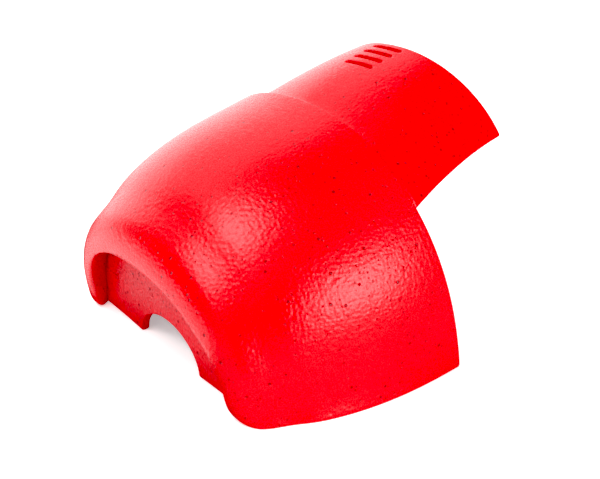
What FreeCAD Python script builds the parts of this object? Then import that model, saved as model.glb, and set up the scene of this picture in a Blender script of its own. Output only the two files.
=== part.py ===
import FreeCAD, Part
import math
import os

# Martial arts elbow pad, at real size in millimetres.
# +X is the wearer's side to side, +Y points from the mouth of the cup to the arm guard, +Z is up.
# The pad stands on the lower edges of its cup and front wall; the origin is on that floor plane,
# under the middle of the whole pad.

# ---- driving dimensions: cup -------------------------------------------------------------
FRONT_HALF_WIDTH = 55.0      # half width of the mouth at the floor
CUP_LENGTH = 83.0            # mouth to rear rim, along the floor
WIDTH_LAW = (55.0, 67.7, 73.6, 71.7)    # Bezier law of the half width, mouth to rear rim
HEIGHT_LAW = (46.4, 76.0, 78.0, 86.0)   # Bezier law of the height, mouth to rear rim
ROUNDNESS = (2.05, 2.29)     # superellipse exponent at the mouth and at the rear rim
WIDEST_AT = (8.9, 9.2)       # height of the widest line at the mouth and at the rear rim
TUCK = (-2.0, 0.4)           # how far the foot turns in below the widest line
FLARE = 2.6                  # how far the foot turns out a third of the way along the cup
LEAN = (-0.174, -0.216)      # forward lean of the mouth and of the rear rim, mm per mm of height
LIP_RADIUS = 6.0             # rounding of the outer edge of the mouth
UNDER_FLOOR = 1.0            # how far the sections reach below the floor before it trims them

# ---- driving dimensions: layers ----------------------------------------------------------
SKIN = 1.2                   # dipped vinyl skin
CUP_WALL = 9.7               # skin, foam and lining of the cup
GUARD_WALL = 7.8             # skin, foam and lining of the arm guard
LINING = 1.0                 # inner cloth lining
GLUE = 0.15                  # glue line round everything bonded to a lining

# ---- driving dimensions: front wall ------------------------------------------------------
WALL_RECESS = 5.4            # front face of the wall behind the mouth
WALL_THICKNESS = 3.6
NOTCH_HALF_WIDTH = 20.8
NOTCH_HEIGHT = 13.4

# ---- driving dimensions: arm guard -------------------------------------------------------
GUARD_STEP = 4.6             # ridge of the guard below the top of the cup's rear rim
ROOT_HALF_WIDTH = 58.0
ROOT_DROP = 22.4             # ridge to lower edge at the cup
ROOT_ROUNDNESS = 1.7
END_RIDGE = (112.1, 99.5)    # y and z of the ridge at the free end
END_HALF_WIDTH = 41.7
END_DROP = 35.1
END_TILT = 30.5              # tilt of the end plane, degrees
END_ROUNDNESS = 2.27
SIDE_ANGLE = 82.8            # how far round the arch the guard's lower edge lies, degrees
BULGE = 2.2                  # crown of the guard between cup and free end

# ---- driving dimensions: vent grooves ----------------------------------------------------
GROOVE_COUNT = 4
GROOVE_FIRST = 0.62          # first groove, as a share of the guard's length
GROOVE_STEP = 0.1
GROOVE_HALF_LENGTH = 7.4
GROOVE_WIDTH = 1.8
GROOVE_DEPTH = 1.9

# ---- driving dimensions: elbow cushion ---------------------------------------------------
CUSHION_THICKNESS = 6.0
CUSHION_FROM = 24.0          # along the floor, from the mouth
CUSHION_TO = 66.0
CUSHION_HALF_ANGLE = 50.0    # either side of the ridge, degrees

# ---- driving dimensions: straps ----------------------------------------------------------
WEB = 1.8                    # elastic webbing
PILE = 1.0                   # hook tape and loop tape, each
PILE_GAP = 0.15
KEEPER_WEB = 1.6
ROD_RADIUS = 1.5             # wire of the rectangular rings
ROD_PLAY = 0.05              # radial clearance of the ring in its keeper
RING_DEPTH = 10.0            # keeper bar to strap bar
RING_SIDE_ROOM = 1.2
RING_CORNER = 3.0
FOLD_RADIUS = 4.2            # middle of the webbing round the strap bar
FOLD_TO_HINGE = 14.0
BEND_RADIUS = 3.5
HINGE_PLAY = 0.3
RIVET_HEAD_RADIUS = 3.0
RIVET_HEAD = 1.0
RIVET_SHANK_RADIUS = 1.4

# forearm strap: across the rear opening, wing to wing
FOREARM = dict(half=52.0, width=35.0, leg=13.0, tab=44.0, pull=9.0,
               origin=(0.0, 57.0, 8.0), tilt=0.0)
FOREARM_BLOCK = ((52.0, 42.5, 4.0), (18.0, 24.0, 43.0))

# upper arm strap: under the arm guard, edge to edge; its frame leans with the arm
ARM_TILT = -78.0
ARM = dict(half=30.0, width=25.0, leg=9.0, tab=25.0, pull=8.0,
           origin=(0.0, 95.8, 66.9), tilt=ARM_TILT)
ARM_BLOCK = (30.0, 20.0, 22.0)    # inner face, thickness and height before trimming

Y_MIDDLE = 60.8              # middle of the whole pad, measured from the mouth at the floor
OUT = "parts"


# ---- small helpers -----------------------------------------------------------------------
def vec(x, y, z):
    return FreeCAD.Vector(x, y, z)


def mix(pair, share):
    return pair[0] + (pair[1] - pair[0]) * share


def bezier(law, t):
    a, b, c, d = law
    s = 1.0 - t
    return a * s ** 3 + 3 * b * t * s ** 2 + 3 * c * t ** 2 * s + d * t ** 3


def spline_edge(points):
    curve = Part.BSplineCurve()
    curve.interpolate(points)
    return curve.toShape()


def box(low, size):
    return Part.makeBox(size[0], size[1], size[2], vec(*low))


def loft(wires):
    return Part.makeLoft(wires, True, False)


def above_floor():
    """Space that trims the cup's feet flat."""
    return box((-100.0, -50.0, 0.0), (200.0, 200.0, 150.0))


# ---- cup ---------------------------------------------------------------------------------
def cup_lean(y):
    return mix(LEAN, y / CUP_LENGTH)


def arch_point(y, inset, angle):
    """Point of the cup's arch whose plane meets the floor at y, at an angle from the +X foot."""
    share = min(max(y / CUP_LENGTH, 0.0), 1.0)
    half = bezier(WIDTH_LAW, share) - inset
    height = bezier(HEIGHT_LAW, share) - inset
    power = 2.0 / mix(ROUNDNESS, share)
    widest = mix(WIDEST_AT, share)
    across = math.copysign(abs(math.cos(angle)) ** power, math.cos(angle))
    rise = abs(math.sin(angle)) ** power
    z = widest + (height - widest) * rise
    return vec(half * across, y + cup_lean(y) * z, z)


def arch_wire(y, inset, count=32):
    """Closed D: the arch from foot to foot, then straight across just below the floor."""
    share = min(max(y / CUP_LENGTH, 0.0), 1.0)
    points = [arch_point(y, inset, math.pi * i / count) for i in range(count + 1)]
    widest = mix(WIDEST_AT, share)
    tuck = mix(TUCK, share) - FLARE * 6.75 * share * (1 - share) ** 2
    half = points[0].x
    foot = []
    for z in (-UNDER_FLOOR, widest / 3.0, widest * 2 / 3.0):
        foot.append((half - tuck * ((widest - z) / widest) ** 2, y + cup_lean(y) * z, z))
    right = [vec(x, fy, z) for x, fy, z in foot]
    left = [vec(-x, fy, z) for x, fy, z in reversed(foot)]
    arch = spline_edge(right + points + left)
    return Part.Wire([arch, Part.makeLine(left[-1], right[0])])


def cup_stations(start, radius):
    """Section places along the floor: close together round the lip, then even."""
    stations = []
    if radius > 0:
        for i in range(6):
            turn = math.radians(90.0 * i / 6.0)
            stations.append((start + radius * (1 - math.cos(turn)), radius * (1 - math.sin(turn))))
        start = start + radius
    steps = 7
    for i in range(steps + 1):
        stations.append((start + (CUP_LENGTH - start) * i / steps, 0.0))
    return stations


def cup_block(inset, start, radius=0.0):
    """Filled cup, its whole surface moved in by inset, from start to the rear rim."""
    return loft([arch_wire(y, inset + extra) for y, extra in cup_stations(start, radius)])


def make_cup():
    outer = cup_block(0.0, 0.0, LIP_RADIUS)
    foam = cup_block(SKIN, SKIN, LIP_RADIUS - SKIN)
    inner = cup_block(CUP_WALL - LINING, SKIN)
    hollow = cup_block(CUP_WALL, -2.0)
    layers = (outer.cut(foam).cut(hollow), foam.cut(inner), inner.cut(hollow))
    return [layer.common(above_floor()) for layer in layers]


# ---- front wall --------------------------------------------------------------------------
def wall_slab(start, thickness):
    """Upright slab, big enough to span the cup."""
    return box((-80.0, start, 0.0), (160.0, thickness, 70.0))


def notch_tool():
    arch = Part.Ellipse(vec(0, 0, 0), NOTCH_HALF_WIDTH, NOTCH_HEIGHT).toShape()
    tool = Part.Face(Part.Wire([arch])).extrude(vec(0, 0, 60))
    tool.rotate(vec(0, 0, 0), vec(1, 0, 0), 90)
    tool.translate(vec(0, 40, 0))
    return tool


def make_front_wall(bonded):
    notch = notch_tool()
    skin = bonded.common(wall_slab(WALL_RECESS, SKIN)).cut(notch)
    core = bonded.common(wall_slab(WALL_RECESS + SKIN, WALL_THICKNESS - SKIN)).cut(notch)
    return skin, core


# ---- arm guard ---------------------------------------------------------------------------
def guard_arc(half, drop, roundness, side):
    """x and drop below the ridge, for side from -1 to 1."""
    power = 2.0 / roundness
    full = math.radians(SIDE_ANGLE)
    turn = full * abs(side)
    x = half * (math.sin(turn) / math.sin(full)) ** power
    fall = (1 - math.cos(turn) ** power) / (1 - math.cos(full) ** power)
    return math.copysign(x, side), drop * fall


def guard_point(u, side, inset=0.0):
    """Point on the guard: u from 0 at the cup to 1 at the free end."""
    root_x, root_fall = guard_arc(ROOT_HALF_WIDTH - inset, ROOT_DROP - inset, ROOT_ROUNDNESS, side)
    root_z = HEIGHT_LAW[3] - GUARD_STEP - inset - root_fall
    root = vec(root_x, CUP_LENGTH + LEAN[1] * root_z, root_z)
    end_x, end_fall = guard_arc(END_HALF_WIDTH - inset, END_DROP - inset, END_ROUNDNESS, side)
    tilt = math.radians(END_TILT)
    fall = end_fall + inset
    end = vec(end_x, END_RIDGE[0] + fall * math.sin(tilt), END_RIDGE[1] - fall * math.cos(tilt))
    crown = vec(0, -math.sin(tilt / 2), math.cos(tilt / 2)) * (BULGE * 4 * u * (1 - u))
    return root * (1 - u) + end * u + crown


def guard_row(u, inset, count=24):
    return [guard_point(u, 1 - 2.0 * j / count, inset) for j in range(count + 1)]


def guard_sections(sections=5):
    return [i / (sections - 1.0) for i in range(sections)]


def guard_layer(outer_inset, inner_inset):
    """Arched layer of the guard between two insets, open below."""
    wires = []
    for u in guard_sections():
        outer = guard_row(u, outer_inset)
        inner = list(reversed(guard_row(u, inner_inset)))
        wires.append(Part.Wire([
            spline_edge(outer), Part.makeLine(outer[-1], inner[0]),
            spline_edge(inner), Part.makeLine(inner[-1], outer[0])]))
    return loft(wires)


def guard_hollow():
    """Space under the guard's lining, down to the lower edges, less the glue line."""
    wires = []
    for u in guard_sections():
        row = guard_row(u, GUARD_WALL + GLUE)
        wires.append(Part.Wire([spline_edge(row), Part.makeLine(row[-1], row[0])]))
    return loft(wires)


def groove_tools():
    """Slots with round ends that cross the ridge near the free end."""
    tools = []
    for i in range(GROOVE_COUNT):
        u = GROOVE_FIRST + GROOVE_STEP * i
        before = guard_point(u - 0.02, 0.0)
        after = guard_point(u + 0.02, 0.0)
        slope = math.degrees(math.atan2(after.z - before.z, after.y - before.y))
        reach = GROOVE_HALF_LENGTH - GROOVE_WIDTH / 2
        slot = box((-reach, -GROOVE_WIDTH / 2, -GROOVE_DEPTH), (2 * reach, GROOVE_WIDTH, 4.0))
        for end in (-reach, reach):
            slot = slot.fuse(Part.makeCylinder(GROOVE_WIDTH / 2, 4.0, vec(end, 0, -GROOVE_DEPTH)))
        slot.rotate(vec(0, 0, 0), vec(1, 0, 0), slope)
        slot.translate(guard_point(u, 0.0))
        tools.append(slot)
    return tools


def make_guard():
    skin = guard_layer(0.0, SKIN)
    core = guard_layer(SKIN, GUARD_WALL - LINING)
    lining = guard_layer(GUARD_WALL - LINING, GUARD_WALL)
    for tool in groove_tools():
        skin = skin.cut(tool)
        core = core.cut(tool)
    return skin, core, lining


# ---- elbow cushion -----------------------------------------------------------------------
def make_cushion():
    wires = []
    steps = 6
    near = CUP_WALL + GLUE
    for i in range(steps + 1):
        y = CUSHION_FROM + (CUSHION_TO - CUSHION_FROM) * i / steps
        crown = 0.45 + 0.55 * math.sin(math.pi * i / steps)
        rows = []
        for inset in (near, near + CUSHION_THICKNESS * crown):
            row = []
            for j in range(17):
                angle = math.radians(90 + CUSHION_HALF_ANGLE * (j / 8.0 - 1))
                row.append(arch_point(y, inset, angle))
            rows.append(row)
        outer, inner = rows
        inner = list(reversed(inner))
        wires.append(Part.Wire([
            spline_edge(outer), Part.makeLine(outer[-1], inner[0]),
            spline_edge(inner), Part.makeLine(inner[-1], outer[0])]))
    return loft(wires)


# ---- straps ------------------------------------------------------------------------------
# Each strap is drawn in its own plane: x runs across the pad, y points away from the limb, and the
# webbing's width runs along z. place() then moves it to where it lies.
def place(shape, strap):
    shape.rotate(vec(0, 0, 0), vec(1, 0, 0), strap["tilt"])
    shape.translate(vec(*strap["origin"]))
    return shape


def tab_level():
    return WEB + 2 * PILE + PILE_GAP


def keeper_bar_x(strap):
    return strap["half"] - ROD_RADIUS - ROD_PLAY - KEEPER_WEB


def fold_x(strap):
    return keeper_bar_x(strap) - RING_DEPTH


def hinge_x(strap):
    return fold_x(strap) - FOLD_TO_HINGE


def web_along(edges, thickness, width):
    """Webbing along a flat path, with round ends."""
    outline = Part.Wire(edges).makeOffset2D(thickness / 2, 0, False, False)
    return Part.Face(outline).extrude(vec(0, 0, width))


def make_strap(strap):
    """Sewn leg, bend, span, fold round the ring's strap bar, and the run down to the peel line."""
    leg_x = -strap["half"] + WEB / 2
    bend_end = vec(leg_x + BEND_RADIUS, 0, 0)
    corner = BEND_RADIUS * (1 - math.sqrt(0.5))
    fold_bottom = vec(fold_x(strap), 0, 0)
    fold_top = vec(fold_x(strap), 2 * FOLD_RADIUS, 0)
    hinge = vec(hinge_x(strap), tab_level(), 0)
    back = (fold_top - hinge).normalize() * (WEB + HINGE_PLAY)
    edges = [
        Part.makeLine(vec(leg_x, -strap["leg"], 0), vec(leg_x, -BEND_RADIUS, 0)),
        Part.Arc(vec(leg_x, -BEND_RADIUS, 0), vec(leg_x + corner, -corner, 0), bend_end).toShape(),
        Part.makeLine(bend_end, fold_bottom),
        Part.Arc(fold_bottom, vec(fold_x(strap) + FOLD_RADIUS, FOLD_RADIUS, 0), fold_top).toShape(),
        Part.makeLine(fold_top, hinge + back)]
    return place(web_along(edges, WEB, strap["width"]), strap)


def make_strap_end(strap):
    """Free end that lies along the span; its round edge turns on the peel line."""
    x = hinge_x(strap)
    end = box((x - strap["tab"], tab_level() - WEB / 2, 0), (strap["tab"], WEB, strap["width"]))
    for edge_x in (x, x - strap["tab"]):
        round_edge = Part.makeCylinder(WEB / 2, strap["width"], vec(edge_x, tab_level(), 0))
        end = end.fuse(round_edge)
    return place(end.removeSplitter(), strap)


def make_pile(strap, level, start, length):
    margin = 1.5
    tape = box((hinge_x(strap) - start - length, level, margin),
               (length, PILE, strap["width"] - 2 * margin))
    return place(tape, strap)


def make_pull_tab(strap):
    """Folded grip sewn over the tip of the strap end, on its outer face."""
    grip = box((hinge_x(strap) - strap["tab"] - strap["pull"] / 2, tab_level() + WEB / 2, 5.0),
               (strap["pull"] * 1.6, 1.4, strap["width"] - 10.0))
    return place(grip, strap)


def make_ring(strap):
    """Rectangular wire ring: keeper bar on +X, strap bar on -X."""
    low = -RING_SIDE_ROOM - ROD_RADIUS
    high = strap["width"] - low
    inner = fold_x(strap)
    outer = keeper_bar_x(strap)
    y = FOLD_RADIUS
    r = RING_CORNER
    bend = r * (1 - math.sqrt(0.5))
    edges = [
        Part.makeLine(vec(outer, y, low + r), vec(outer, y, high - r)),
        Part.Arc(vec(outer, y, high - r), vec(outer - bend, y, high - bend),
                 vec(outer - r, y, high)).toShape(),
        Part.makeLine(vec(outer - r, y, high), vec(inner + r, y, high)),
        Part.Arc(vec(inner + r, y, high), vec(inner + bend, y, high - bend),
                 vec(inner, y, high - r)).toShape(),
        Part.makeLine(vec(inner, y, high - r), vec(inner, y, low + r)),
        Part.Arc(vec(inner, y, low + r), vec(inner + bend, y, low + bend),
                 vec(inner + r, y, low)).toShape(),
        Part.makeLine(vec(inner + r, y, low), vec(outer - r, y, low)),
        Part.Arc(vec(outer - r, y, low), vec(outer - bend, y, low + bend),
                 vec(outer, y, low + r)).toShape()]
    circle = Part.Circle(vec(outer, y, low + r), vec(0, 0, 1), ROD_RADIUS).toShape()
    ring = Part.Wire(edges).makePipeShell([Part.Wire([circle])], True, True)
    return place(ring, strap)


def make_keeper(strap):
    """Webbing loop that holds the ring's keeper bar against its base."""
    margin = 1.0
    width = strap["width"] - 2 * margin
    x = keeper_bar_x(strap)
    leg = box((strap["half"] - KEEPER_WEB, -strap["leg"], margin),
              (KEEPER_WEB, strap["leg"] + FOLD_RADIUS, width))
    loop = Part.makeCylinder(ROD_RADIUS + ROD_PLAY + KEEPER_WEB, width, vec(x, FOLD_RADIUS, margin))
    bore = Part.makeCylinder(ROD_RADIUS + ROD_PLAY, width, vec(x, FOLD_RADIUS, margin))
    return place(leg.fuse(loop).cut(bore).removeSplitter(), strap)


def make_rivets(strap, side, thickness):
    """Two rivets through the webbing into the base; side is -1 for the anchor, 1 for the keeper."""
    rivets = []
    face = side * strap["half"]
    for share in (0.25, 0.75):
        height = strap["width"] * share
        depth = -strap["leg"] + 5.0
        inward = vec(-side, 0, 0)
        head_base = vec(face - side * thickness, depth, height)
        head = Part.makeCylinder(RIVET_HEAD_RADIUS, RIVET_HEAD, head_base, inward)
        shank_base = vec(face + side * 1.5, depth, height)
        shank = Part.makeCylinder(RIVET_SHANK_RADIUS, thickness + 1.5, shank_base, inward)
        rivets.append(head.fuse(shank))
    return place(Part.makeCompound(rivets), strap)


def mirrored_x(shape):
    return shape.mirror(vec(0, 0, 0), vec(1, 0, 0))


def forearm_base(bonded):
    """Wedge that turns the curved inside of the wing into a flat face, on +X."""
    return bonded.common(box(*FOREARM_BLOCK))


def arm_base():
    face, thickness, height = ARM_BLOCK
    block = box((face, 10.0 - height, -1.5), (thickness, height, ARM["width"] + 3.0))
    return guard_hollow().common(place(block, ARM))


def strap_nodes(name, strap, base):
    """All the nodes of one strap, with the rivets' holes cut where the rivets go."""
    anchor_rivets = make_rivets(strap, -1, WEB)
    keeper_rivets = make_rivets(strap, 1, KEEPER_WEB)
    loop_length = strap["tab"] + 6.0
    return {
        name + "_anchor_base": mirrored_x(base).cut(anchor_rivets),
        name + "_strap": make_strap(strap).cut(anchor_rivets),
        name + "_anchor_rivets": anchor_rivets,
        name + "_keeper_base": base.cut(keeper_rivets),
        name + "_keeper": make_keeper(strap).cut(keeper_rivets),
        name + "_keeper_rivets": keeper_rivets,
        name + "_ring": make_ring(strap),
        name + "_loop_tape": make_pile(strap, WEB / 2, 1.0, loop_length - 1.0),
        name + "_strap_end": make_strap_end(strap),
        name + "_hook_tape": make_pile(strap, WEB / 2 + PILE + PILE_GAP, 4.0, strap["tab"] - 6.0),
        name + "_pull_tab": make_pull_tab(strap)}


# ---- whole pad ---------------------------------------------------------------------------
def make_pad():
    nodes = {}
    skin, core, lining = make_cup()
    bonded = cup_block(CUP_WALL + GLUE, 0.0)
    nodes["cup_skin"] = skin
    nodes["cup_core"] = core
    nodes["cup_lining"] = lining
    skin, core = make_front_wall(bonded)
    nodes["front_wall_skin"] = skin
    nodes["front_wall_core"] = core
    skin, core, lining = make_guard()
    nodes["arm_guard_skin"] = skin
    nodes["arm_guard_core"] = core
    nodes["arm_guard_lining"] = lining
    nodes["elbow_cushion"] = make_cushion()
    nodes.update(strap_nodes("forearm", FOREARM, forearm_base(bonded)))
    nodes.update(strap_nodes("arm", ARM, arm_base()))
    return nodes


def write(nodes):
    os.makedirs(OUT, exist_ok=True)
    whole = FreeCAD.BoundBox()
    for name, shape in nodes.items():
        shape.translate(vec(0, -Y_MIDDLE, 0))
        whole.add(shape.BoundBox)
        print("%-22s %8.2f cm3 valid %s solids %d" % (
            name, shape.Volume / 1000, shape.isValid(), len(shape.Solids)))
        shape.exportStep(os.path.join(OUT, name + ".step"))
    print("whole pad", whole)


write(make_pad())
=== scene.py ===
import math

import bmesh
import bpy
import numpy as np
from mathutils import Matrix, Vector


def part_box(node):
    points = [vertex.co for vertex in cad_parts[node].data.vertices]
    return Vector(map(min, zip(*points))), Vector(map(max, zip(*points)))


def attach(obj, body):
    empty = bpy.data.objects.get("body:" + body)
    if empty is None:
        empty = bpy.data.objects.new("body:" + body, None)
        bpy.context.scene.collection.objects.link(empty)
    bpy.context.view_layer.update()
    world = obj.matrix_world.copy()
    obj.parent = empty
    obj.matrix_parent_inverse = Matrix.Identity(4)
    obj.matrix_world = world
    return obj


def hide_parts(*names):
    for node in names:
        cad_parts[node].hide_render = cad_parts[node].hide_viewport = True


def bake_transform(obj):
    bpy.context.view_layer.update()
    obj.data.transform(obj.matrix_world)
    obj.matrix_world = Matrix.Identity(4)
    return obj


# Martial arts elbow pad: the looks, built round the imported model. Metres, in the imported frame:
# +X across the pad, +Y from the mouth to the arm guard, +Z up, the floor at z = 0.

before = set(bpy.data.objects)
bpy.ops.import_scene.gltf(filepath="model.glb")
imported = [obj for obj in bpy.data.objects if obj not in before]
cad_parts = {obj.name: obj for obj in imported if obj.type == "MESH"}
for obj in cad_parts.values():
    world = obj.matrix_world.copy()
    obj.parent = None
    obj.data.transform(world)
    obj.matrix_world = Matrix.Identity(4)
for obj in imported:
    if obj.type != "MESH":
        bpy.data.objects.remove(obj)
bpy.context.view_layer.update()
MM = 0.001

# ---- driving dimensions of the shell, the same laws as the solids ------------------------
CUP_LENGTH = 83.0 * MM
WIDTH_LAW = (55.0 * MM, 67.7 * MM, 73.6 * MM, 71.7 * MM)
HEIGHT_LAW = (46.4 * MM, 76.0 * MM, 78.0 * MM, 86.0 * MM)
ROUNDNESS = (2.05, 2.29)
WIDEST_AT = (8.9 * MM, 9.2 * MM)
TUCK = (-2.0 * MM, 0.4 * MM)
LEAN = (-0.174, -0.216)
CUP_WALL = 9.7 * MM
LINING = 0.9 * MM

LIP_RADIUS = (4.8 * MM, 7.6 * MM)    # outer edge of the rolled lip, at the foot and at the top
LIP_INNER_RADIUS = 3.2 * MM
LIP_SQUARENESS = 2.1
LIP_FOOT_LIFT = 2.0 * MM      # how far the lip's front draws back where it meets the floor
FLARE = 2.6 * MM              # how far the foot turns out a third of the way along the cup
FLARE_HEIGHT = 26.0 * MM      # the flare has died out at this height
FLARE_NORM = 27 / 4           # makes the law of the flare peak at 1
VALLEY_DEPTH = 0.9 * MM       # shallow hollow pressed in behind the rolled lip
VALLEY_AT = 14.0 * MM
VALLEY_WIDTH = 5.5 * MM
RIM_RADIUS = 0.8 * MM
FOOT_RADIUS = 0.7 * MM
ARCH_STEPS = 64

WALL_RECESS = 5.4 * MM
WALL_THICKNESS = 3.6 * MM
WALL_EDGE = 0.5 * MM
WALL_DISH = 0.25 * MM
WALL_FOOT_SHARE = 0.08        # share of the spokes that end on each foot
NOTCH_HALF_WIDTH = 20.8 * MM
NOTCH_HEIGHT = 13.4 * MM

GUARD_WALL = 7.8 * MM
GUARD_STEP = 4.6 * MM
GUARD_EDGE = 0.9 * MM
ROOT = dict(half=58.0 * MM, drop=22.4 * MM, roundness=1.7)
END = dict(half=41.7 * MM, drop=35.1 * MM, roundness=2.27)
END_RIDGE = (112.1 * MM, 99.5 * MM)
END_TILT = math.radians(30.5)
SIDE_ANGLE = math.radians(82.8)
BULGE = 2.2 * MM
GUARD_LENGTH = 52.0 * MM
FILLET_RISE = 1.8 * MM
FILLET_LENGTH = 0.12

GROOVE_COUNT = 4
GROOVE_FIRST = 0.62
GROOVE_STEP = 0.1
GROOVE_HALF_LENGTH = 7.4 * MM
GROOVE_HALF_WIDTH = 0.9 * MM
GROOVE_DEPTH = 1.6 * MM

# ---- driving dimensions of the lining, cushion and straps --------------------------------
LINING_FROM = 12.0 * MM
LINING_HEM = 1.6 * MM

CUSHION_THICKNESS = 6.0 * MM
CUSHION_RANGE = (24.0 * MM, 66.0 * MM)
CUSHION_HALF_ANGLE = 50.0     # degrees each side of the crown
CUSHION_VOXEL = 1.5 * MM
CUSHION_SEWN_BELOW = 35.0 * MM    # lower than this the cushion is held still
CUSHION_SEWN_SLOPE = 0.25     # and where its face looks up, against the lining
CUSHION_PUFF_LIMIT = 1.2 * MM
CLOTH_FRAMES = 20

WEB = 1.8 * MM
PILE = 1.0 * MM
PILE_GAP = 0.15 * MM
KEEPER_WEB = 1.6 * MM
ROD_RADIUS = 1.5 * MM
ROD_PLAY = 0.05 * MM
RING_DEPTH = 10.0 * MM
RING_SIDE_ROOM = 1.2 * MM
RING_CORNER = 3.0 * MM
FOLD_RADIUS = 4.2 * MM
FOLD_TO_HINGE = 14.0 * MM
BEND_RADIUS = 3.5 * MM
RIVET_HEAD_RADIUS = 3.0 * MM
RIVET_HEAD = 1.0 * MM

# each strap's own frame: x across the pad, y away from the limb, z along the webbing's width
FOREARM = dict(half=52.0 * MM, width=35.0 * MM, leg=13.0 * MM, tab=44.0 * MM, pull=9.0 * MM,
               origin=(0.0, 57.0 * MM, 8.0 * MM), tilt=0.0)
ARM = dict(half=30.0 * MM, width=25.0 * MM, leg=9.0 * MM, tab=25.0 * MM, pull=8.0 * MM,
           origin=(0.0, 95.8 * MM, 66.9 * MM), tilt=math.radians(-78.0))

MOUTH_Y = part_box("cup_skin")[1].y - CUP_LENGTH    # the rear feet end where the cup's length does


# ---- mesh helpers ------------------------------------------------------------------------
def mix(pair, share):
    return pair[0] + (pair[1] - pair[0]) * share


def smooth_step(edge_in, edge_out, value):
    t = min(max((value - edge_in) / (edge_out - edge_in), 0.0), 1.0)
    return t * t * (3 - 2 * t)


def bezier(law, t):
    a, b, c, d = law
    s = 1.0 - t
    return a * s ** 3 + 3 * b * t * s ** 2 + 3 * c * t ** 2 * s + d * t ** 3


def new_object(name, points, faces):
    mesh = bpy.data.meshes.new(name)
    mesh.from_pydata([tuple(p) for p in points], [], faces)
    mesh.validate()
    mesh.shade_smooth()
    obj = bpy.data.objects.new(name, mesh)
    bpy.context.scene.collection.objects.link(obj)
    return obj


def loop_solid(name, rows):
    """Closed solid from rows of points. Each row is a closed loop whose first half and second half
    run opposite ways, so that the two end rows close with strips of quads."""
    rows = np.asarray(rows, float)
    count, size = rows.shape[0], rows.shape[1]
    faces = []
    for r in range(count - 1):
        for c in range(size):
            n = (c + 1) % size
            faces.append((r * size + c, r * size + n, (r + 1) * size + n, (r + 1) * size + c))
    last = (count - 1) * size
    for c in range(size // 2 - 1):
        a, b = c, c + 1
        faces.append((size - 1 - a, size - 1 - b, b, a))
        faces.append((last + a, last + b, last + size - 1 - b, last + size - 1 - a))
    obj = new_object(name, rows.reshape(-1, 3), faces)
    outward(obj)
    return obj


def outward(obj):
    """Turns the faces outward."""
    bm = bmesh.new()
    bm.from_mesh(obj.data)
    bmesh.ops.recalc_face_normals(bm, faces=bm.faces)
    bm.to_mesh(obj.data)
    bm.free()


def apply(obj, modifier):
    with bpy.context.temp_override(object=obj, active_object=obj):
        bpy.ops.object.modifier_apply(modifier=modifier.name)


def subdivide(obj):
    smooth = obj.modifiers.new("smooth", "SUBSURF")
    smooth.levels = 1
    smooth.render_levels = 1
    apply(obj, smooth)
    obj.data.shade_smooth()
    return obj


def voxel_remesh(obj, size):
    remesh = obj.modifiers.new("remesh", "REMESH")
    remesh.mode = "VOXEL"
    remesh.voxel_size = size
    apply(obj, remesh)


def finish_piece(obj, body, slot, material, *nodes):
    obj.data.materials.clear()
    obj.data.materials.append(material)
    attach(obj, body)
    if nodes:
        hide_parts(*nodes)
    return obj


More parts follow.
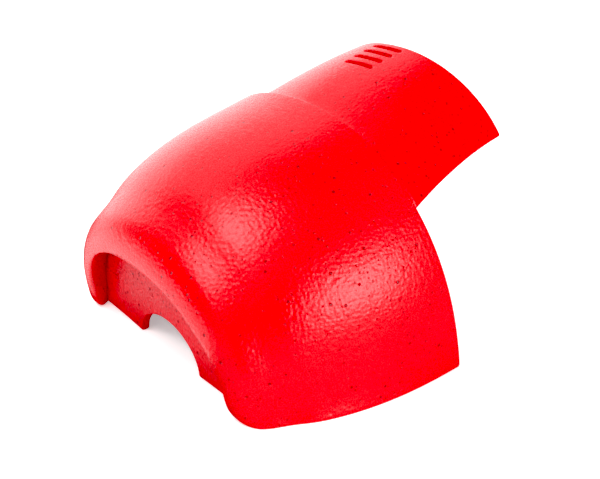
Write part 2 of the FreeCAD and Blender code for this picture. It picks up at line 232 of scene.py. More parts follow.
# ---- materials ---------------------------------------------------------------------------
class Nodes:
    """Short calls for building a material's node tree."""

    def __init__(self, name):
        self.material = bpy.data.materials.new(name)
        self.material.use_nodes = True
        self.tree = self.material.node_tree
        self.shader = self.tree.nodes["Principled BSDF"]
        self.place = self.add("ShaderNodeTexCoord").outputs["Object"]

    def add(self, kind, **settings):
        node = self.tree.nodes.new(kind)
        for key, value in settings.items():
            setattr(node, key, value)
        return node

    def join(self, source, node, socket):
        self.tree.links.new(source, node.inputs[socket])

    def set(self, **sockets):
        for key, value in sockets.items():
            self.shader.inputs[key.replace("_", " ")].default_value = value

    def noise(self, scale, detail=2.0):
        node = self.add("ShaderNodeTexNoise")
        node.inputs["Scale"].default_value = scale
        node.inputs["Detail"].default_value = detail
        self.join(self.place, node, "Vector")
        return node.outputs["Fac"]

    def voronoi(self, scale, feature="F1", place=None, randomness=1.0):
        node = self.add("ShaderNodeTexVoronoi", feature=feature)
        node.inputs["Scale"].default_value = scale
        node.inputs["Randomness"].default_value = randomness
        self.join(place or self.place, node, "Vector")
        return node

    def ramp(self, source, low, high, to_low=0.0, to_high=1.0):
        node = self.add("ShaderNodeMapRange", interpolation_type="SMOOTHSTEP")
        node.inputs["From Min"].default_value = low
        node.inputs["From Max"].default_value = high
        node.inputs["To Min"].default_value = to_low
        node.inputs["To Max"].default_value = to_high
        self.join(source, node, "Value")
        return node.outputs["Result"]

    def math(self, operation, a, b):
        node = self.add("ShaderNodeMath", operation=operation)
        for index, value in enumerate((a, b)):
            if isinstance(value, (int, float)):
                node.inputs[index].default_value = value
            else:
                self.tree.links.new(value, node.inputs[index])
        return node.outputs[0]

    def blend(self, share, low, high):
        """Colour from low to high; each is a colour or a socket."""
        node = self.add("ShaderNodeMix", data_type="RGBA")
        self.join(share, node, "Factor")
        for socket, value in (("A", low), ("B", high)):
            target = [s for s in node.inputs if s.name == socket and s.type == "RGBA"][0]
            if isinstance(value, tuple):
                target.default_value = value + (1.0,)
            else:
                self.tree.links.new(value, target)
        return [s for s in node.outputs if s.type == "RGBA"][0]

    def warp(self, scale, amount):
        """Object place, pushed about by noise."""
        node = self.add("ShaderNodeTexNoise")
        node.inputs["Scale"].default_value = scale
        self.join(self.place, node, "Vector")
        shift = self.add("ShaderNodeVectorMath", operation="MULTIPLY_ADD")
        self.join(node.outputs["Color"], shift, 0)
        shift.inputs[1].default_value = (amount,) * 3
        self.join(self.place, shift, 2)
        return shift.outputs[0]

    def bump(self, height, distance, under=None):
        node = self.add("ShaderNodeBump")
        node.inputs["Distance"].default_value = distance
        node.inputs["Strength"].default_value = 1.0
        self.join(height, node, "Height")
        if under is not None:
            self.join(under, node, "Normal")
        return node.outputs["Normal"]

    def done(self, colour, roughness, normal):
        self.join(colour, self.shader, "Base Color")
        self.join(roughness, self.shader, "Roughness")
        self.join(normal, self.shader, "Normal")
        return self.material


RED = (0.71, 0.003, 0.008)
DEEP_RED = (0.65, 0.002, 0.006)
# painted shade: this dark red goes into the pits and burst bubbles and stands for the shade inside
# them
PIT_SHADE_RED = (0.22, 0.0, 0.002)
WEAVE_MAP = 100
WEAVE_RELIEF = 0.22 * MM


def red_vinyl(name, grain, pit_cell, pit_radius, hole_cell, hole_radius, relief, gloss):
    """Dipped vinyl: a pebbled skin with pits about `pit_cell` apart and rarer burst bubbles."""
    n = Nodes(name)
    pebble = n.voronoi(1 / grain, "SMOOTH_F1", None, 0.6)
    swell = n.noise(1 / (2.4 * MM), 1.0)
    fine = n.noise(1 / (0.45 * MM), 2.0)
    pits = n.voronoi(1 / pit_cell, "F1")
    size = n.ramp(n.noise(1 / (3.0 * MM), 1.0), 0.35, 0.65, 0.45, 1.25)
    pit = n.ramp(n.math("DIVIDE", pits.outputs["Distance"], size),
                 0.35 * pit_radius / pit_cell, pit_radius / pit_cell, 1.0, 0.0)
    holes = n.voronoi(1 / hole_cell, "F1")
    hole = n.ramp(holes.outputs["Distance"], 0.4 * hole_radius / hole_cell,
                  hole_radius / hole_cell, 1.0, 0.0)
    grain_height = n.math("ADD", n.math("MULTIPLY", pebble.outputs["Distance"], -1.0),
                          n.math("MULTIPLY", swell, 0.5))
    height = n.math("ADD", grain_height, n.math("MULTIPLY", fine, 0.3))
    # mask of the pits and bubbles, used for their real dent in the bump and for their painted shade
    dents_and_pit_shade = n.math("MAXIMUM", n.math("MULTIPLY", pit, 0.6), hole)
    tone = n.ramp(n.noise(38.0, 3.0), 0.35, 0.7)
    colour = n.blend(tone, DEEP_RED, RED)
    # painted shade: pits and bubbles are coloured dark red as the shade inside them, on top of
    # their real dent
    colour = n.blend(n.math("MULTIPLY", dents_and_pit_shade, 0.8), colour, PIT_SHADE_RED)
    rough = n.ramp(fine, 0.3, 0.75, gloss - 0.03, gloss + 0.06)
    grain_normal = n.bump(height, relief)
    normal = n.bump(n.math("SUBTRACT", 1.0, dents_and_pit_shade), 0.3 * MM, under=grain_normal)
    n.set(Specular_IOR_Level=0.5)
    return n.done(colour, rough, normal)


def knit(name, dark, light, stitch, bump_height, roughness=0.85):
    """Fine knitted cloth."""
    n = Nodes(name)
    cells = n.voronoi(1 / stitch, "F1", n.warp(60.0, 0.002), 0.45)
    loops = n.ramp(cells.outputs["Distance"], 0.1, 0.75, 1.0, 0.0)
    fuzz = n.noise(1 / (0.35 * MM), 3.0)
    height = n.math("ADD", loops, n.math("MULTIPLY", fuzz, 0.5))
    # partly painted shade: the cloth is lighter on each loop's crown and darker between loops,
    # mixed with random tone
    tone = n.math("ADD", n.math("MULTIPLY", loops, 0.6),
                  n.math("MULTIPLY", n.noise(25.0, 3.0), 0.4))
    colour = n.blend(tone, dark, light)
    n.set(Sheen_Weight=0.25, Sheen_Roughness=0.6, Specular_IOR_Level=0.2)
    rough = n.ramp(fuzz, 0.2, 0.8, roughness - 0.08, roughness + 0.08)
    return n.done(colour, rough, n.bump(height, bump_height))


def woven(name, dark, light, warp_pitch=0.9 * MM, weft_pitch=1.5 * MM):
    """Woven elastic webbing; its map is laid along the band, WEAVE_MAP units to the metre."""
    n = Nodes(name)
    split = n.add("ShaderNodeSeparateXYZ")
    n.join(n.add("ShaderNodeTexCoord").outputs["UV"], split, "Vector")
    wave = 2 * math.pi / WEAVE_MAP
    ribs = n.math("SINE", n.math("MULTIPLY", split.outputs[0], wave / warp_pitch), 0.0)
    picks = n.math("SINE", n.math("MULTIPLY", split.outputs[1], wave / weft_pitch), 0.0)
    weave = n.math("MULTIPLY", ribs, picks)
    height = n.math("ADD", n.math("MULTIPLY", weave, 0.5), n.math("MULTIPLY", ribs, 0.35))
    fuzz = n.noise(1 / (0.3 * MM), 3.0)
    height = n.math("ADD", height, n.math("MULTIPLY", fuzz, 0.5))
    # partly painted shade: the webbing is coloured darker where the weave lies low and lighter on
    # raised threads, with some random fuzz tone
    tone = n.ramp(height, -0.6, 1.2)
    colour = n.blend(tone, dark, light)
    n.set(Sheen_Weight=0.2, Specular_IOR_Level=0.25)
    rough = n.ramp(fuzz, 0.2, 0.8, 0.68, 0.84)
    return n.done(colour, rough, n.bump(height, WEAVE_RELIEF))


def pile(name, dark, light, pitch, bump_height):
    """Hook or loop tape: a field of tiny stubs."""
    n = Nodes(name)
    cells = n.voronoi(1 / pitch, "F1", None, 0.6)
    stubs = n.ramp(cells.outputs["Distance"], 0.15, 0.55, 1.0, 0.0)
    fuzz = n.noise(1 / (0.25 * MM), 4.0)
    height = n.math("ADD", stubs, n.math("MULTIPLY", fuzz, 0.7))
    # partly painted shade: the tape is coloured darker low between the stubs and lighter on their
    # tops, with some random fuzz tone
    colour = n.blend(n.ramp(height, 0.3, 1.5), dark, light)
    n.set(Specular_IOR_Level=0.3)
    rough = n.ramp(fuzz, 0.2, 0.8, 0.6, 0.85)
    return n.done(colour, rough, n.bump(height, bump_height))


def metal(name, colour, roughness):
    n = Nodes(name)
    brushed = n.noise(900.0, 3.0)
    n.set(Metallic=1.0)
    tone = n.blend(n.noise(60.0, 2.0), tuple(0.85 * c for c in colour), colour)
    rough = n.ramp(brushed, 0.2, 0.8, roughness - 0.06, roughness + 0.08)
    return n.done(tone, rough, n.bump(brushed, 0.02 * MM))


def moulded_rubber(name):
    n = Nodes(name)
    grain = n.noise(1 / (0.5 * MM), 3.0)
    colour = n.blend(n.noise(40.0), (0.012, 0.012, 0.012), (0.026, 0.026, 0.027))
    n.set(Specular_IOR_Level=0.4)
    return n.done(colour, n.ramp(grain, 0.2, 0.8, 0.5, 0.7), n.bump(grain, 0.08 * MM))


def plain_stage(name, colour):
    """Pale floor, clear from below."""
    n = Nodes(name)
    n.set(Specular_IOR_Level=0.0, Emission_Color=(1, 1, 1, 1), Emission_Strength=0.35)
    n.join(n.math("SUBTRACT", 1.0, n.add("ShaderNodeNewGeometry").outputs["Backfacing"]),
           n.shader, "Alpha")
    soft = n.noise(3.0)
    tone = n.blend(soft, colour, colour)
    rough = n.ramp(soft, 0.0, 1.0, 0.9, 1.0)
    n.join(tone, n.shader, "Base Color")
    n.join(rough, n.shader, "Roughness")
    return n.material


# ---- cup ---------------------------------------------------------------------------------
def valley(y):
    return VALLEY_DEPTH * math.exp(-((y - VALLEY_AT) / VALLEY_WIDTH) ** 2)


def flare(share, z):
    """The lower part of the cup's sides turns out a little, most of all behind the lip."""
    return FLARE * FLARE_NORM * share * (1 - share) ** 2 * max(0.0, 1 - z / FLARE_HEIGHT) ** 2


def cup_point(y, inset, zone, value):
    """Point of the cup. zone "foot" takes a height above the floor, zone "arch" an angle."""
    share = min(max(y / CUP_LENGTH, 0.0), 1.0)
    half = bezier(WIDTH_LAW, share) - inset
    height = bezier(HEIGHT_LAW, share) - inset
    widest = mix(WIDEST_AT, share)
    if zone == "arch":
        power = 2.0 / mix(ROUNDNESS, share)
        cosine, sine = math.cos(value), abs(math.sin(value))
        z = widest + (height - widest) * sine ** power
        x = math.copysign(half * abs(cosine) ** power + flare(share, z) * abs(cosine), cosine)
    else:
        z = abs(value) * widest
        tuck = mix(TUCK, share) * (1 - abs(value)) ** 2
        x = math.copysign(half - tuck + flare(share, z), value)
        low = max(0.0, 1 - z / (6 * MM)) ** 2
        y += LIP_FOOT_LIFT * low * max(0.0, 1 - y / (8 * MM))
    return (x, MOUTH_Y + y + mix(LEAN, share) * z, z)


def edge_arc(radius, shrink, power, count):
    """Quarter round from the front (0, radius) towards the side (radius, 0)."""
    reach = radius - shrink
    turns = [math.radians(90.0 * i / count) for i in range(count)]
    return [(radius - reach * math.cos(t) ** power, radius - reach * math.sin(t) ** power)
            for t in turns]


def cup_profile(shrink, lip):
    """Loop of (y, inset): outside from lip to rear rim, then the inside back to the lip."""
    power = 2.0 / LIP_SQUARENESS
    count, steps = 12, 30
    end = CUP_LENGTH - RIM_RADIUS
    outer = [(y, depth + valley(y)) for y, depth in edge_arc(lip, shrink, power, count)]
    inner = [(y, CUP_WALL - depth) for y, depth in edge_arc(LIP_INNER_RADIUS, shrink, power, count)]
    for i in range(steps):
        y = mix((lip, end), i / steps)
        outer.append((y, shrink + valley(y)))
        y = mix((LIP_INNER_RADIUS, end), i / steps)
        inner.append((y, CUP_WALL - shrink - behind_lining(y)))
    for i in range(6):
        turn = math.radians(90.0 * i / 5)
        reach = max(RIM_RADIUS - shrink, 0.02 * MM)
        y = end + reach * math.sin(turn)
        depth = RIM_RADIUS - reach * math.cos(turn)
        outer.append((y, depth + valley(y)))
        inner.append((y, CUP_WALL - depth - behind_lining(y)))
    return outer + inner[::-1]


def behind_lining(y):
    """Where the lining covers the inside, the foam lies a little behind the lining's face."""
    return LINING * 0.6 * smooth_step(LINING_FROM - 2 * MM, LINING_FROM, y)


def cup_rows():
    foot = [(0.0, 1.0), (0.012, 0.62), (0.04, 0.33), (0.09, 0.1), (0.155, 0.0), (0.3, 0.0),
            (0.5, 0.0), (0.75, 0.0)]
    stations = [("foot", max(h, 1e-9), shrink * FOOT_RADIUS) for h, shrink in foot]
    stations += [("arch", math.pi * i / ARCH_STEPS, 0.0) for i in range(ARCH_STEPS + 1)]
    stations += [("foot", -max(h, 1e-9), shrink * FOOT_RADIUS) for h, shrink in reversed(foot)]
    rows = []
    for zone, value, shrink in stations:
        lip = mix(LIP_RADIUS, math.sin(value) if zone == "arch" else 0.0)
        rows.append([cup_point(y, inset, zone, value) for y, inset in cup_profile(shrink, lip)])
    return rows


# ---- front wall --------------------------------------------------------------------------
def wall_rows():
    """Spokes from the notch to the inside of the cup; each loop is a spoke's front and back."""
    spokes = 56
    stops = [0.0, 0.004, 0.012, 0.03, 0.07, 0.12, 0.2, 0.3, 0.4, 0.5, 0.6, 0.7, 0.8, 0.9, 1.0]
    y_far = WALL_RECESS + WALL_THICKNESS / 2 + 3 * MM
    rows = []
    for i in range(spokes + 1):
        turn = math.pi * i / spokes
        near = Vector((NOTCH_HALF_WIDTH * math.cos(turn), 0, NOTCH_HEIGHT * math.sin(turn)))
        share = i / spokes
        if share < WALL_FOOT_SHARE:
            zone, value = "foot", max(share / WALL_FOOT_SHARE, 1e-9)
        elif share > 1 - WALL_FOOT_SHARE:
            zone, value = "foot", -max((1 - share) / WALL_FOOT_SHARE, 1e-9)
        else:
            zone = "arch"
            value = math.pi * (share - WALL_FOOT_SHARE) / (1 - 2 * WALL_FOOT_SHARE)
        far = Vector(cup_point(y_far, CUP_WALL - 0.6 * MM, zone, value))
        far.y = 0
        front, back = [], []
        for t in stops:
            p = near.lerp(far, t)
            close = min((p - near).length, p.z)
            inset = 0.0
            if close < WALL_EDGE:
                inset = WALL_EDGE - math.sqrt(WALL_EDGE ** 2 - (WALL_EDGE - close) ** 2)
            dish = WALL_DISH * math.sin(math.pi * t)
            front.append((p.x, MOUTH_Y + WALL_RECESS + inset + dish, p.z))
            back.append((p.x, MOUTH_Y + WALL_RECESS + WALL_THICKNESS - inset, p.z))
        rows.append(front + back[::-1])
    return rows


# ---- arm guard ---------------------------------------------------------------------------
def guard_arc(half, drop, roundness, side):
    power = 2.0 / roundness
    turn = SIDE_ANGLE * abs(side)
    x = half * (math.sin(turn) / math.sin(SIDE_ANGLE)) ** power
    fall = (1 - math.cos(turn) ** power) / (1 - math.cos(SIDE_ANGLE) ** power)
    return math.copysign(x, side), drop * fall


def guard_point(u, side, inset=0.0):
    x0, fall0 = guard_arc(ROOT["half"] - inset, ROOT["drop"] - inset, ROOT["roundness"], side)
    z0 = HEIGHT_LAW[3] - GUARD_STEP - inset - fall0
    root = Vector((x0, CUP_LENGTH + LEAN[1] * z0, z0))
    x1, fall1 = guard_arc(END["half"] - inset, END["drop"] - inset, END["roundness"], side)
    fall = fall1 + inset
    end = Vector((x1, END_RIDGE[0] + fall * math.sin(END_TILT),
                  END_RIDGE[1] - fall * math.cos(END_TILT)))
    crown = Vector((0, -math.sin(END_TILT / 2), math.cos(END_TILT / 2))) * (BULGE * 4 * u * (1 - u))
    point = root * (1 - u) + end * u + crown
    point.y += MOUTH_Y
    return point


def groove_depth(u, x):
    """Depth of the pressed vents at a place on the guard's ridge."""
    deepest = 0.0
    for i in range(GROOVE_COUNT):
        along = (u - GROOVE_FIRST - GROOVE_STEP * i) * GUARD_LENGTH
        past_end = max(abs(x) - (GROOVE_HALF_LENGTH - GROOVE_HALF_WIDTH), 0.0)
        distance = math.hypot(along, past_end)
        wall = smooth_step(GROOVE_HALF_WIDTH * 1.25, GROOVE_HALF_WIDTH * 0.55, distance)
        deepest = max(deepest, wall * GROOVE_DEPTH)
    return deepest


def guard_profile(shrink):
    """Loop of (u, inset, on the outside): root to end outside, then back inside."""
    fine_start, fine_end = 0.575, 0.965
    us = [-0.03, -0.012, 0.0, 0.012, 0.03, 0.055, 0.085, 0.12]
    us += list(np.linspace(0.16, fine_start - 0.03, 12))
    us += list(np.linspace(fine_start, fine_end, 52))
    tail = 1.0 - GUARD_EDGE / GUARD_LENGTH
    us += [tail]
    outer = []
    for u in us:
        tuck = 1.6 * MM * smooth_step(0.004, -0.03, u)
        fillet = FILLET_RISE * max(0.0, 1 - u / FILLET_LENGTH) ** 2
        outer.append((u, shrink + tuck, fillet))
    for i in range(1, 5):
        turn = math.radians(90.0 * i / 4)
        reach = max(GUARD_EDGE - shrink, 0.02 * MM)
        outer.append((tail + reach * math.sin(turn) / GUARD_LENGTH,
                      GUARD_EDGE - reach * math.cos(turn), 0.0))
    inner = []
    for u, _, _ in reversed(outer):
        past = max(0.0, (u - tail) * GUARD_LENGTH) / GUARD_EDGE
        corner = GUARD_EDGE * (1 - math.sqrt(max(0.0, 1 - past ** 2)))
        inner.append((u, GUARD_WALL - LINING * 0.6 - shrink - corner, None))
    return outer + inner


def guard_rows():
    sides = [0.0]
    while sides[-1] < 0.2:
        sides.append(sides[-1] + 0.0085)
    sides += list(np.linspace(0.22, 0.97, 26))
    sides += [0.978, 0.986, 0.992, 0.997, 1.0]
    shrinks = {0.986: 0.08, 0.992: 0.3, 0.997: 0.6, 1.0: 1.0}
    half = [(s, shrinks.get(s, 0.0) * GUARD_EDGE) for s in sides]
    stations = [(-s, k) for s, k in reversed(half)] + half[1:]
    rows = []
    for side, shrink in stations:
        row = []
        for u, inset, fillet in guard_profile(shrink):
            if fillet is not None:
                x = guard_point(u, side).x
                inset += groove_depth(u, x) - fillet * (1 - abs(side) ** 3)
            row.append(guard_point(u, side, inset))
        rows.append(row)
    return rows


# ---- linings -----------------------------------------------------------------------------
def layer_profile(along, outer, inner):
    """Loop of (place along, inset) round one thin layer, with its edges rolled in."""
    roll = [0.0, 0.3, 0.7, 1.0]
    middle = (outer + inner) / 2
    half = (inner - outer) / 2
    fade = roll + [1.0] * (len(along) - 2 * len(roll)) + roll[::-1]
    near = [(a, middle - half * max(f, 0.08)) for a, f in zip(along, fade)]
    far = [(a, middle + half * max(f, 0.08)) for a, f in zip(along, fade)]
    return near + far[::-1]


def hemmed(start, end, count, roll):
    inside = list(np.linspace(start + roll, end - roll, count))
    return ([start, start + roll * 0.15, start + roll * 0.5] + inside
            + [end - roll * 0.5, end - roll * 0.15, end])


def make_cup_lining(material):
    along = hemmed(LINING_FROM, CUP_LENGTH - LINING_HEM, 30, 0.8 * MM)
    foot = [("foot", h) for h in (0.10, 0.13, 0.2, 0.35, 0.6)]
    stations = foot + [("arch", math.pi * i / ARCH_STEPS) for i in range(ARCH_STEPS + 1)]
    stations += [(zone, -h) for zone, h in reversed(foot)]
    rows = []
    for index, (zone, value) in enumerate(stations):
        edge = min(index, len(stations) - 1 - index)
        thick = (0.15, 0.7)[edge] if edge < 2 else 1.0
        middle = CUP_WALL - LINING / 2
        profile = layer_profile(along, middle - LINING * thick / 2, middle + LINING * thick / 2)
        rows.append([cup_point(y, inset, zone, value) for y, inset in profile])
    lining = subdivide(loop_solid("cup_lining_cloth", rows))
    finish_piece(lining, "pad", "lining", material, "cup_lining")


def make_guard_lining(material):
    roll = 0.8 * MM / GUARD_LENGTH
    along = hemmed(0.045, 0.965, 24, roll)
    sides = [-0.965, -0.96, -0.95] + list(np.linspace(-0.93, 0.93, 48)) + [0.95, 0.96, 0.965]
    rows = []
    for index, side in enumerate(sides):
        edge = min(index, len(sides) - 1 - index)
        thick = (0.15, 0.7)[edge] if edge < 2 else 1.0
        middle = GUARD_WALL - LINING / 2
        profile = layer_profile(along, middle - LINING * thick / 2, middle + LINING * thick / 2)
        rows.append([guard_point(u, side, inset) for u, inset in profile])
    lining = subdivide(loop_solid("arm_guard_lining_cloth", rows))
    finish_piece(lining, "pad", "lining", material, "arm_guard_lining")


# ---- elbow cushion -----------------------------------------------------------------------
def cushion_rows():
    """Crowned pad against the lining, thin and sewn down round its edge."""
    rows = []
    count_y, count_a = 20, 30
    near = CUP_WALL + 0.1 * MM
    for j in range(count_a + 1):
        angle = math.radians(90 + CUSHION_HALF_ANGLE * (2.0 * j / count_a - 1))
        across = 1 - abs(2.0 * j / count_a - 1) ** 3
        low, high = [], []
        for i in range(count_y + 1):
            y = mix(CUSHION_RANGE, i / count_y)
            along = 1 - abs(2.0 * i / count_y - 1) ** 3
            thick = CUSHION_THICKNESS * (0.16 + 0.84 * math.sqrt(across * along))
            low.append(cup_point(y, near, "arch", angle))
            high.append(cup_point(y, near + thick, "arch", angle))
        rows.append(low + high[::-1])
    return rows


def puff(obj):
    """Fills the cushion out with a short cloth simulation, its sewn side held still."""
    scene = bpy.context.scene
    voxel_remesh(obj, CUSHION_VOXEL)
    start = [v.co.copy() for v in obj.data.vertices]
    pinned = obj.vertex_groups.new(name="sewn")
    for v in obj.data.vertices:
        if v.normal.z > CUSHION_SEWN_SLOPE or v.co.z <= CUSHION_SEWN_BELOW:
            pinned.add([v.index], 1.0, "REPLACE")
    cloth = obj.modifiers.new("cloth", "CLOTH")
    cloth.settings.use_pressure = True
    cloth.settings.uniform_pressure_force = 4.0
    cloth.settings.effector_weights.gravity = 0.0
    cloth.settings.quality = 6
    cloth.settings.mass = 0.2
    cloth.settings.tension_stiffness = 12.0
    cloth.settings.compression_stiffness = 12.0
    cloth.settings.shear_stiffness = 5.0
    cloth.settings.vertex_group_mass = "sewn"
    cloth.point_cache.frame_start = 1
    cloth.point_cache.frame_end = CLOTH_FRAMES
    for number in range(1, CLOTH_FRAMES + 1):
        scene.frame_set(number)
    apply(obj, cloth)
    scene.frame_set(1)
    for v, was in zip(obj.data.vertices, start):
        moved = v.co - was
        if moved.length > CUSHION_PUFF_LIMIT:
            v.co = was + moved.normalized() * CUSHION_PUFF_LIMIT


def make_cushion(material):
    cushion = loop_solid("elbow_cushion_pad", cushion_rows())
    puff(cushion)
    subdivide(cushion)
    finish_piece(cushion, "pad", "cushion_cloth", material, "elbow_cushion")


# ---- straps ------------------------------------------------------------------------------
def keeper_bar_x(strap):
    return strap["half"] - ROD_RADIUS - ROD_PLAY - KEEPER_WEB


def fold_x(strap):
    return keeper_bar_x(strap) - RING_DEPTH


def hinge_x(strap):
    return fold_x(strap) - FOLD_TO_HINGE


TAB_LEVEL = WEB + 2 * PILE + PILE_GAP


def place(point, strap):
    """From a strap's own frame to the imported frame."""
    x, y, z = point
    c, s = math.cos(strap["tilt"]), math.sin(strap["tilt"])
    ox, oy, oz = strap["origin"]
    return (x + ox, y * c - z * s + oy + MOUTH_Y, y * s + z * c + oz)


def arc(centre, radius, start, end, count):
    angles = [math.radians(start + (end - start) * i / count) for i in range(count + 1)]
    return [(centre[0] + radius * math.cos(a), centre[1] + radius * math.sin(a)) for a in angles]


def run(start, end, step=2.0 * MM):
    length = math.hypot(end[0] - start[0], end[1] - start[1])
    count = max(2, int(length / step))
    return [(start[0] + (end[0] - start[0]) * i / count, start[1] + (end[1] - start[1]) * i / count)
            for i in range(count + 1)]


def joined(*parts):
    path = []
    for part in parts:
        for point in part:
            if not path or math.hypot(point[0] - path[-1][0], point[1] - path[-1][1]) > 1e-6:
                path.append(point)
    return path


def trace(path):
    """Place, normal and run length at each point of a flat path."""
    points = [Vector((x, y, 0)) for x, y in path]
    length = 0.0
    traced = []
    for i, point in enumerate(points):
        before = points[max(i - 1, 0)]
        after = points[min(i + 1, len(points) - 1)]
        along = (after - before).normalized()
        if i:
            length += (point - points[i - 1]).length
        traced.append((point, Vector((-along.y, along.x, 0)), along, length))
    return traced


def ribbon(name, path, strap, low, high, thickness, uneven=0.0):
    """Woven band along a flat path in the strap's frame, from low to high across its width."""
    edge = min(0.8 * MM, thickness * 0.5)
    width = high - low
    offsets = [0.0, 0.12 * edge, 0.45 * edge, edge]
    count = max(4, int((width - 2 * edge) / (2.5 * MM)))
    offsets += [edge + (width - 2 * edge) * i / count for i in range(1, count)]
    offsets += [width - edge, width - 0.45 * edge, width - 0.12 * edge, width]
    traced = trace(path)
    tip = 0.45 * thickness
    first, last = traced[0], traced[-1]
    stations = []
    for back, share in ((tip, 0.35), (tip * 0.75, 0.75)):
        stations.append((first[0] - first[2] * back, first[1], -back, share))
    stations += [(point, normal, length, 1.0) for point, normal, _, length in traced]
    for back, share in ((tip * 0.75, 0.75), (tip, 0.35)):
        stations.append((last[0] + last[2] * back, last[1], last[3] + back, share))
    rows, places = [], []
    for point, normal, length, share in stations:
        row, marks = [], []
        for side, sweep in ((1, offsets), (-1, offsets[::-1])):
            for offset in sweep:
                close = min(offset, width - offset, edge) / edge
                half = thickness / 2 * share * math.sqrt(1 - (1 - close) ** 2 * 0.9)
                if uneven:
                    half += uneven * math.sin(length * 900 + offset * 3100) * (side > 0)
                local = point + normal * (side * half)
                row.append(place((local.x, local.y, low + offset), strap))
                marks.append((offset, length))
        rows.append(row)
        places.append(marks)
    obj = loop_solid(name, rows)
    flat = [mark for marks in places for mark in marks]
    layer = obj.data.uv_layers.new(name="weave")
    for loop in obj.data.loops:
        across, along = flat[loop.vertex_index]
        layer.data[loop.index].uv = (across * WEAVE_MAP, along * WEAVE_MAP)
    return subdivide(obj)


def tube(path3d, radius):
    """Closed round wire along a closed path."""
    points = [Vector(p) for p in path3d]
    count = len(points)
    normal = Vector((0, 1, 0))
    sides = 16
    vertices, faces = [], []
    for i, point in enumerate(points):
        along = (points[(i + 1) % count] - points[i - 1]).normalized()
        across = along.cross(normal).normalized()
        for k in range(sides):
            turn = 2 * math.pi * k / sides
            vertices.append(point + (across * math.cos(turn) + normal * math.sin(turn)) * radius)
    for i in range(count):
        for k in range(sides):
            n, m = (i + 1) % count, (k + 1) % sides
            faces.append((i * sides + k, i * sides + m, n * sides + m, n * sides + k))
    return vertices, faces


def make_ring(name, strap, material):
    low = -RING_SIDE_ROOM - ROD_RADIUS
    high = strap["width"] - low
    inner, outer, r = fold_x(strap), keeper_bar_x(strap), RING_CORNER
    flat = joined(run((outer, low + r), (outer, high - r)),
                  arc((outer - r, high - r), r, 0, 90, 8),
                  run((outer - r, high), (inner + r, high)),
                  arc((inner + r, high - r), r, 90, 180, 8),
                  run((inner, high - r), (inner, low + r)),
                  arc((inner + r, low + r), r, 180, 270, 8),
                  run((inner + r, low), (outer - r, low)),
                  arc((outer - r, low + r), r, 270, 360, 8))[:-1]
    vertices, faces = tube([(x, FOLD_RADIUS, z) for x, z in flat], ROD_RADIUS)
    ring = new_object(name + "_ring_wire", [place(v, strap) for v in vertices], faces)
    outward(ring)
    subdivide(ring)
    finish_piece(ring, name + "_ring", "ring_metal", material, name + "_ring")


def make_rivets(name, strap, side, thickness, material, node):
    """Two domed rivet caps with a dimple; side is -1 at the anchor and 1 at the keeper."""
    face = side * strap["half"] - side * thickness
    steps = 24
    profile = [(0.0, 0.55), (0.35, 0.6), (0.5, 0.85), (0.72, 0.98), (0.86, 0.86), (0.96, 0.55),
               (1.0, 0.25), (1.0, 0.0), (0.97, -0.1), (0.5, -0.1), (0.3, -0.6)]
    vertices, faces = [], []
    for share in (0.25, 0.75):
        base = len(vertices)
        for reach, rise in profile:
            for k in range(steps):
                turn = 2 * math.pi * k / steps
                r = RIVET_HEAD_RADIUS * max(reach, 0.02)
                point = (face - side * RIVET_HEAD * rise,
                         -strap["leg"] + 5.0 * MM + r * math.cos(turn),
                         strap["width"] * share + r * math.sin(turn))
                vertices.append(place(point, strap))
        for row in range(len(profile) - 1):
            for k in range(steps):
                a, b = base + row * steps + k, base + row * steps + (k + 1) % steps
                faces.append((a, b, b + steps, a + steps))
        faces.append(tuple(base + k for k in range(steps)))
        faces.append(tuple(base + (len(profile) - 1) * steps + k for k in range(steps)))
    rivets = new_object(name, vertices, faces)
    outward(rivets)
    subdivide(rivets)
    finish_piece(rivets, "pad", "rivet_metal", material, node)


def soft_copy(node, name, voxel):
    """Rounded copy of a moulded block."""
    source = bpy.data.objects[node]
    obj = bpy.data.objects.new(name, source.data.copy())
    bpy.context.scene.collection.objects.link(obj)
    obj.matrix_world = source.matrix_world
    voxel_remesh(obj, voxel)
    smooth = obj.modifiers.new("round", "SMOOTH")
    smooth.iterations = 4
    apply(obj, smooth)
    obj.data.shade_smooth()
    return obj


